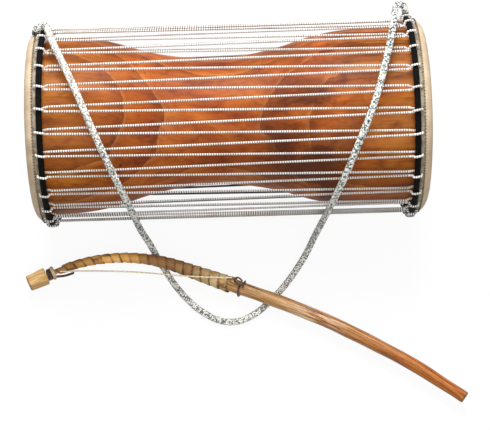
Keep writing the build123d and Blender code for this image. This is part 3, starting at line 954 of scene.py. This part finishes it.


# White nylon cord, tightly twisted: bright crests with painted shade between them, painted shade near the
# floor, and a little random wear
cord, tree, shader = start_material(
    "white_nylon_cord", Roughness=0.5, Sheen_Weight=0.5, Sheen_Roughness=0.4
)
dip = add_node(tree, "ShaderNodeAttribute", attribute_name="dip").outputs["Fac"]
place = add_node(tree, "ShaderNodeTexCoord").outputs["Object"]
height = add_node(tree, "ShaderNodeSeparateXYZ", {"Vector": place}).outputs["Z"]
# Painted shade: the grooves are coloured wider and darker towards the floor, under the drum
low_groove_shade = add_node(
    tree,
    "ShaderNodeMapRange",
    {"Value": height, "From Min": 30 * MM, "From Max": 130 * MM, "To Min": 0.34, "To Max": 0.0},
)
groove = add_node(tree, "ShaderNodeMath", {0: dip, 1: low_groove_shade.outputs[0]}, operation="ADD")
# Painted shade: the grooves between the crests are coloured dark
cord_tone = add_node(
    tree,
    "ShaderNodeValToRGB",
    {"Fac": groove.outputs[0]},
    ((0.42, "f8f5f0"), (0.58, "dcd4cc"), (0.76, "3c332d"), (0.92, "0c0a09")),
)
wear = add_node(tree, "ShaderNodeTexNoise", {"Vector": place, "Scale": 1 / (16.667 * MM), "Detail": 3.0})
# Painted shade: darker towards the floor, under the drum, added to the random wear
low_shade = add_node(
    tree,
    "ShaderNodeMapRange",
    {"Value": height, "From Min": 25 * MM, "From Max": 75 * MM, "To Min": -0.45, "To Max": 0.25},
)
wear_and_low_shade = add_node(tree, "ShaderNodeMath", {0: low_shade.outputs[0], 1: wear.outputs["Fac"]}, operation="ADD")
wear_and_shade_tone = add_node(
    tree,
    "ShaderNodeValToRGB",
    {"Fac": wear_and_low_shade.outputs[0]},
    ((0.08, "3e3a36"), (0.45, "cfc8bd"), (0.75, "ffffff")),
)
cord_colour = add_node(
    tree,
    "ShaderNodeMix",
    {0: 1.0, 6: cord_tone.outputs["Color"], 7: wear_and_shade_tone.outputs["Color"]},
    data_type="RGBA",
    blend_type="MULTIPLY",
)
tree.links.new(cord_colour.outputs[2], shader.inputs["Base Color"])


# Braided polyester rope: white strands with dashes of grey, black and green yarn, about 1.6 mm long
rope, tree, shader = start_material("flecked_polyester_braid", Roughness=0.65)
strand_number = add_node(tree, "ShaderNodeAttribute", attribute_name="strand").outputs["Fac"]
strand_run = add_node(tree, "ShaderNodeAttribute", attribute_name="run").outputs["Fac"]
dashes = add_node(tree, "ShaderNodeMath", {0: strand_run, 1: 1 / (1.6 * MM)}, operation="MULTIPLY")
shifted = add_node(
    tree, "ShaderNodeMath", {0: strand_number, 1: 0.37, 2: dashes.outputs[0]}, operation="MULTIPLY_ADD"
)
dash = add_node(tree, "ShaderNodeMath", {0: shifted.outputs[0]}, operation="FLOOR")
cell = add_node(tree, "ShaderNodeCombineXYZ", {"X": strand_number, "Y": dash.outputs[0]})
pick = add_node(tree, "ShaderNodeTexWhiteNoise", {"Vector": cell.outputs[0]}, noise_dimensions="3D")
fleck = add_node(
    tree,
    "ShaderNodeValToRGB",
    {"Fac": pick.outputs["Value"]},
    ((0.0, "faf8f2"), (0.44, "dde0da"), (0.58, "8c9490"), (0.72, "1b2023"), (0.92, "3a6050")),
)
fleck.color_ramp.interpolation = "CONSTANT"
# The flecks are fainter in the first 240 mm from the left knot. Where the rope lies on the floor they are a
# little paler too, a painted light
knot_fade = add_node(
    tree,
    "ShaderNodeMapRange",
    {"Value": strand_run, "From Min": 0.0, "From Max": 240 * MM, "To Min": 0.4, "To Max": 0.0},
)
place = add_node(tree, "ShaderNodeTexCoord").outputs["Object"]
height = add_node(tree, "ShaderNodeSeparateXYZ", {"Vector": place}).outputs["Z"]
# Painted light: paler where the rope lies on the floor
floor_painted_light = add_node(
    tree,
    "ShaderNodeMapRange",
    {"Value": height, "From Min": 6 * MM, "From Max": 60 * MM, "To Min": 0.15, "To Max": 0.0},
)
fade_and_floor_light = add_node(
    tree, "ShaderNodeMath", {0: knot_fade.outputs[0], 1: floor_painted_light.outputs[0]}, operation="MAXIMUM"
)
faded_and_floor_lit = add_node(
    tree,
    "ShaderNodeMix",
    {0: fade_and_floor_light.outputs[0], 6: fleck.outputs["Color"], 7: linear("f7eee2")},
    data_type="RGBA",
)
# Painted shade where the strands meet: each strand is darker towards its edges
strand_dip = add_node(tree, "ShaderNodeAttribute", attribute_name="dip").outputs["Fac"]
strand_shade = add_node(
    tree, "ShaderNodeValToRGB", {"Fac": strand_dip}, ((0.2, "ffffff"), (0.75, "b4b6b3"))
)
rope_colour = add_node(
    tree,
    "ShaderNodeMix",
    {0: 1.0, 6: faded_and_floor_lit.outputs[2], 7: strand_shade.outputs["Color"]},
    data_type="RGBA",
    blend_type="MULTIPLY",
)
# The rope's ends, sealed with a flame
sealed = add_node(tree, "ShaderNodeAttribute", attribute_name="sealed").outputs["Fac"]
burnt = add_node(
    tree, "ShaderNodeMapRange", {"Value": sealed, "From Min": 0.25, "From Max": 0.6, "To Max": 0.9}
)
rope_end = add_node(
    tree,
    "ShaderNodeMix",
    {0: burnt.outputs[0], 6: rope_colour.outputs[2], 7: linear("1c1917")},
    data_type="RGBA",
)
tree.links.new(rope_end.outputs[2], shader.inputs["Base Color"])


# Bent branch, peeled and handled: tan at the bow, orange-brown and darker at the far end, with long cracks
branch, tree, shader = start_material("peeled_branch", Roughness=0.33, Specular_IOR_Level=0.38)
stick_run = add_node(tree, "ShaderNodeAttribute", attribute_name="run").outputs["Fac"]
stick_across = add_node(tree, "ShaderNodeAttribute", attribute_name="across").outputs["Fac"]
stick_height = add_node(tree, "ShaderNodeAttribute", attribute_name="height").outputs["Fac"]
slow_run = add_node(tree, "ShaderNodeMath", {0: stick_run, 1: 0.06}, operation="MULTIPLY")
lengthways = add_node(
    tree, "ShaderNodeCombineXYZ", {"X": slow_run.outputs[0], "Y": stick_across, "Z": stick_height}
).outputs[0]
streak = add_node(
    tree,
    "ShaderNodeTexNoise",
    {"Vector": lengthways, "Scale": 1 / (2.381 * MM), "Detail": 4.0, "Roughness": 0.65},
)
near_tone = add_node(
    tree,
    "ShaderNodeValToRGB",
    {"Fac": streak.outputs["Fac"]},
    ((0.34, "7d4f26"), (0.46, "bb8a54"), (0.7, "d9b580")),
)
far_tone = add_node(
    tree,
    "ShaderNodeValToRGB",
    {"Fac": streak.outputs["Fac"]},
    ((0.34, "6a3210"), (0.46, "a4591a"), (0.7, "c37f37")),
)
far = add_node(
    tree,
    "ShaderNodeMapRange",
    {"Value": stick_run, "From Min": 240 * MM, "From Max": 400 * MM, "To Min": 0.0, "To Max": 1.0},
)
branch_colour = add_node(
    tree,
    "ShaderNodeMix",
    {0: far.outputs[0], 6: near_tone.outputs["Color"], 7: far_tone.outputs["Color"]},
    data_type="RGBA",
)
# Thin dark cracks, about 1 mm wide and many times as long
slower_run = add_node(tree, "ShaderNodeMath", {0: stick_run, 1: 0.025}, operation="MULTIPLY")
crack_place = add_node(
    tree, "ShaderNodeCombineXYZ", {"X": slower_run.outputs[0], "Y": stick_across, "Z": stick_height}
).outputs[0]
crack = add_node(
    tree,
    "ShaderNodeTexNoise",
    {"Vector": crack_place, "Scale": 1 / (1.111 * MM), "Detail": 3.0, "Roughness": 0.6},
)
crack_tone = add_node(
    tree, "ShaderNodeValToRGB", {"Fac": crack.outputs["Fac"]}, ((0.34, "6e4a30"), (0.48, "ffffff"))
)
cracked = add_node(
    tree,
    "ShaderNodeMix",
    {0: 0.75, 6: branch_colour.outputs[2], 7: crack_tone.outputs["Color"]},
    data_type="RGBA",
    blend_type="MULTIPLY",
)
# A pale patch on the handle, 298 mm along the stick, on its lighter streaks
from_patch = add_node(tree, "ShaderNodeMath", {0: stick_run, 1: 298 * MM}, operation="SUBTRACT")
off_patch = add_node(tree, "ShaderNodeMath", {0: from_patch.outputs[0]}, operation="ABSOLUTE")
patch_share = add_node(
    tree,
    "ShaderNodeMapRange",
    {"Value": off_patch.outputs[0], "From Min": 8 * MM, "From Max": 34 * MM, "To Min": 0.85, "To Max": 0.0},
)
patch_fibres = add_node(
    tree, "ShaderNodeMapRange", {"Value": streak.outputs["Fac"], "From Min": 0.44, "From Max": 0.60}
)
pale_patch = add_node(
    tree, "ShaderNodeMath", {0: patch_share.outputs[0], 1: patch_fibres.outputs[0]}, operation="MULTIPLY"
)
pale_patched = add_node(
    tree,
    "ShaderNodeMix",
    {0: pale_patch.outputs[0], 6: cracked.outputs[2], 7: linear("f3dcc0")},
    data_type="RGBA",
)
# The dark cut at the far end
end_cut = add_node(
    tree,
    "ShaderNodeMapRange",
    {"Value": stick_run, "From Min": 462.5 * MM, "From Max": 463.8 * MM, "To Min": 0.0, "To Max": 0.85},
)
cut_colour = add_node(
    tree,
    "ShaderNodeMix",
    {0: end_cut.outputs[0], 6: pale_patched.outputs[2], 7: linear("3b1d0c")},
    data_type="RGBA",
)
tree.links.new(cut_colour.outputs[2], shader.inputs["Base Color"])
branch_bump = add_node(
    tree, "ShaderNodeBump", {"Height": streak.outputs["Fac"], "Strength": 0.4, "Distance": 0.5 * MM}
)
tree.links.new(branch_bump.outputs["Normal"], shader.inputs["Normal"])


# Pale carved wood, knife-cut: light tan with straight grain along the stick, dark at its end
carved, tree, shader = start_material("knife_cut_pale_wood", Roughness=0.6)
place = add_node(tree, "ShaderNodeTexCoord").outputs["Object"]
tip_place = add_node(
    tree, "ShaderNodeMapping", {"Vector": place, "Rotation": (0, 0, radians(-NECK_ANGLE))}
).outputs[0]
grain_place = add_node(tree, "ShaderNodeMapping", {"Vector": tip_place, "Scale": (0.12, 1, 1)}).outputs[0]
grain = add_node(tree, "ShaderNodeTexNoise", {"Vector": grain_place, "Scale": 1 / (2 * MM), "Detail": 3.0})
grain_tone = add_node(
    tree,
    "ShaderNodeValToRGB",
    {"Fac": grain.outputs["Fac"]},
    ((0.3, "b98b48"), (0.55, "dab06e"), (0.75, "e8c88e")),
)
tip_run = add_node(tree, "ShaderNodeSeparateXYZ", {"Vector": tip_place}).outputs["X"]
dark_end = add_node(
    tree,
    "ShaderNodeMapRange",
    {"Value": tip_run, "From Min": -243.4 * MM, "From Max": -241.8 * MM, "To Min": 0.8, "To Max": 0.0},
)
tip_colour = add_node(
    tree,
    "ShaderNodeMix",
    {0: dark_end.outputs[0], 6: grain_tone.outputs["Color"], 7: linear("4a2c14")},
    data_type="RGBA",
)
tree.links.new(tip_colour.outputs[2], shader.inputs["Base Color"])


# Raffia strip, wound wet and dried: each turn its own brown, unevenly dark along its edges
raffia, tree, shader = start_material("dried_raffia_strip", Roughness=0.55)
turn_number = add_node(tree, "ShaderNodeAttribute", attribute_name="turn").outputs["Fac"]
strip_edge = add_node(tree, "ShaderNodeAttribute", attribute_name="edge").outputs["Fac"]
whole_turn = add_node(tree, "ShaderNodeMath", {0: turn_number}, operation="FLOOR")
turn_pick = add_node(tree, "ShaderNodeTexWhiteNoise", {"W": whole_turn.outputs[0]}, noise_dimensions="1D")
place = add_node(tree, "ShaderNodeTexCoord").outputs["Object"]
blotch = add_node(
    tree,
    "ShaderNodeTexNoise",
    {"Vector": place, "Scale": 1 / (7.692 * MM), "Detail": 4.0, "Roughness": 0.65},
)
strip_mix = add_node(
    tree,
    "ShaderNodeMath",
    {0: turn_pick.outputs["Value"], 1: 0.5, 2: blotch.outputs["Fac"]},
    operation="MULTIPLY_ADD",
)
strip_shade = add_node(
    tree,
    "ShaderNodeValToRGB",
    {"Fac": strip_mix.outputs[0]},
    ((0.42, "9c806a"), (0.58, "e6d2bc"), (0.75, "fcf2e6"), (0.95, "ffffff")),
)
# Brown at the neck, bright on top of the bow, brown again and pale at the handle
strip_place = add_node(tree, "ShaderNodeMath", {0: turn_number, 1: 1 / STRIP_TURNS}, operation="MULTIPLY")
strip_base = add_node(
    tree,
    "ShaderNodeValToRGB",
    {"Fac": strip_place.outputs[0]},
    (
        (0.0, "a87434"),
        (0.14, "c8924a"),
        (0.26, "ffcc74"),
        (0.40, "f8bc62"),
        (0.50, "a07242"),
        (0.75, "ae8856"),
        (0.95, "e6cd98"),
    ),
)
strip_tone = add_node(
    tree,
    "ShaderNodeMix",
    {0: 1.0, 6: strip_base.outputs["Color"], 7: strip_shade.outputs["Color"]},
    data_type="RGBA",
    blend_type="MULTIPLY",
)
edge_share = add_node(
    tree,
    "ShaderNodeMapRange",
    {"Value": strip_edge, "From Min": 0.62, "From Max": 0.98, "To Min": 0.0, "To Max": 0.9},
)
edge_strength = add_node(
    tree,
    "ShaderNodeMapRange",
    {"Value": blotch.outputs["Fac"], "From Min": 0.38, "From Max": 0.62, "To Min": 1.0, "To Max": 0.25},
)
edge_here = add_node(
    tree, "ShaderNodeMath", {0: edge_share.outputs[0], 1: edge_strength.outputs[0]}, operation="MULTIPLY"
)
strip_colour = add_node(
    tree,
    "ShaderNodeMix",
    {0: edge_here.outputs[0], 6: strip_tone.outputs[2], 7: linear("2e1a0a")},
    data_type="RGBA",
)
tree.links.new(strip_colour.outputs[2], shader.inputs["Base Color"])
strip_bump = add_node(
    tree, "ShaderNodeBump", {"Height": blotch.outputs["Fac"], "Strength": 0.3, "Distance": 0.5 * MM}
)
tree.links.new(strip_bump.outputs["Normal"], shader.inputs["Normal"])


# Straw-coloured string, twisted: pale, with a little painted shade between its crests
straw, tree, shader = start_material("straw_string", Roughness=0.7)
dip = add_node(tree, "ShaderNodeAttribute", attribute_name="dip").outputs["Fac"]
straw_tone = add_node(tree, "ShaderNodeValToRGB", {"Fac": dip}, ((0.0, "fff3d2"), (1.0, "ecd9ae")))
tree.links.new(straw_tone.outputs["Color"], shader.inputs["Base Color"])

# Black cotton tape, wound: matt and near black, with faint dust
tape = speckled_finish(
    "black_cotton_tape",
    2.381 * MM,
    ((0.35, "020202"), (0.7, "090908")),
    detail=3.0,
    bump=0.4,
    Roughness=0.85,
    Specular_IOR_Level=0.15,
)

# Leather thong, cut and handled: dark brown, scuffed, with a waxy shine
thong = speckled_finish(
    "dark_leather_thong", 3.333 * MM, ((0.35, "2a1712"), (0.7, "6a4338")), detail=3.0, Roughness=0.38
)

# Rawhide collar, dried on the stick: pale, with brown stains
collar = speckled_finish(
    "pale_rawhide_collar", 4.167 * MM, ((0.35, "a98a5c"), (0.65, "dcc39a")), detail=3.0, Roughness=0.6
)

# Waxed thread of the hem: dark brown and dull
thread = speckled_finish("waxed_dark_thread", 2 * MM, ((0.35, "221b14"), (0.65, "4a3c2c")), Roughness=0.6)

# Split cane inside the hoops, which the wrapping hides: yellow-brown
cane = speckled_finish("cane_ring", 3.333 * MM, ((0.3, "8a6a3c"), (0.7, "b8935a")), Roughness=0.6)

for material, slot_name, piece_names in (
    (rope, "flecked_rope", ("strap_braid", "left_strap_hitch", "right_strap_hitch")),
    (cord, "white_cord", ("tension_cords_under", "tension_cords_front", "tension_cords_over")),
    (cord, "white_cord", ("tension_cords_back", "left_lacing", "right_lacing")),
    (tape, "black_wrapping", ("left_hoop_wrapping", "right_hoop_wrapping")),
    (rawhide, "skin", ("left_skin", "right_skin")),
    (thread, "skin_hem", ("left_hem_stitches", "right_hem_stitches")),
    (branch, "beater_wood", ("beater_branch",)),
    (raffia, "brown_strip", ("beater_wound_strip",)),
    (thong, "dark_thong", ("beater_handle_tie", "beater_tip_thong")),
    (collar, "pale_rawhide", ("beater_rawhide_band",)),
    (carved, "pale_wood", ("beater_carved_tip",)),
    (straw, "straw_string", ("beater_bow_string",)),
):
    for piece_name in piece_names:
        dress(bpy.data.objects[piece_name], material)
for node_name, material in (("shell", wood), ("left_hoop_core", cane), ("right_hoop_core", cane)):
    node_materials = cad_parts[node_name].data.materials
    node_materials.clear()
    node_materials.append(material)


# Stage: a white floor that keeps a faint shadow, a soft key light from behind and above, and a bright room
ROOM_LIGHT = 0.42
FLOOR_GLOW = 0.93
LIGHTS_AIM = Vector((0, -0.02, 0.1))
bpy.ops.object.select_all(action="DESELECT")
bpy.ops.mesh.primitive_plane_add(size=12, location=(0, 0, -0.2 * MM))
floor_plane = bpy.context.object
floor_plane.name = "floor"
floor_paint, tree, shader = start_material("white_floor", Roughness=0.9)
rays = add_node(tree, "ShaderNodeLightPath")
mirrored = add_node(
    tree,
    "ShaderNodeMath",
    {0: rays.outputs["Is Glossy Ray"], 1: rays.outputs["Is Transmission Ray"]},
    operation="MAXIMUM",
)
seen = add_node(
    tree, "ShaderNodeMath", {0: rays.outputs["Is Camera Ray"], 1: mirrored.outputs[0]}, operation="MAXIMUM"
)
paint = add_node(
    tree, "ShaderNodeMix", {0: seen.outputs[0], 6: linear("5c5c5c"), 7: linear("f8f8f8")}, data_type="RGBA"
)
tree.links.new(paint.outputs[2], shader.inputs["Base Color"])
bright = add_node(tree, "ShaderNodeMath", {0: seen.outputs[0], 1: FLOOR_GLOW}, operation="MULTIPLY")
glow = add_node(tree, "ShaderNodeEmission", {"Color": (1, 1, 1, 1), "Strength": 1.0})
floor_mix = add_node(
    tree, "ShaderNodeMixShader", {0: bright.outputs[0], 1: shader.outputs[0], 2: glow.outputs[0]}
)
tree.links.new(floor_mix.outputs[0], tree.nodes["Material Output"].inputs["Surface"])
floor_plane.data.materials.append(floor_paint)

world = bpy.data.worlds.new("room")
scene.world = world
world.use_nodes = True
tree = world.node_tree
rays = add_node(tree, "ShaderNodeLightPath")
seen = add_node(
    tree,
    "ShaderNodeMath",
    {0: rays.outputs["Is Camera Ray"], 1: rays.outputs["Is Transmission Ray"]},
    operation="MAXIMUM",
)
strength = add_node(
    tree, "ShaderNodeMapRange", {"Value": seen.outputs[0], "To Min": ROOM_LIGHT, "To Max": 1.0}
)
tree.links.new(strength.outputs[0], tree.nodes["Background"].inputs["Strength"])
tree.nodes["Background"].inputs["Color"].default_value = (1, 1, 1, 1)

for name, place, size, power in (
    ("key_light", (-0.05, 0.95, 1.6), 1.0, 46.0),
    ("front_light", (0.2, -1.4, 1.6), 1.4, 18.0),
):
    lamp = bpy.data.lights.new(name, "AREA")
    lamp.size = size
    lamp.energy = power
    holder = bpy.data.objects.new(name, lamp)
    scene.collection.objects.link(holder)
    holder.location = place
    holder.rotation_euler = (LIGHTS_AIM - Vector(place)).to_track_quat("-Z", "Y").to_euler()
scene.view_settings.view_transform = "Standard"
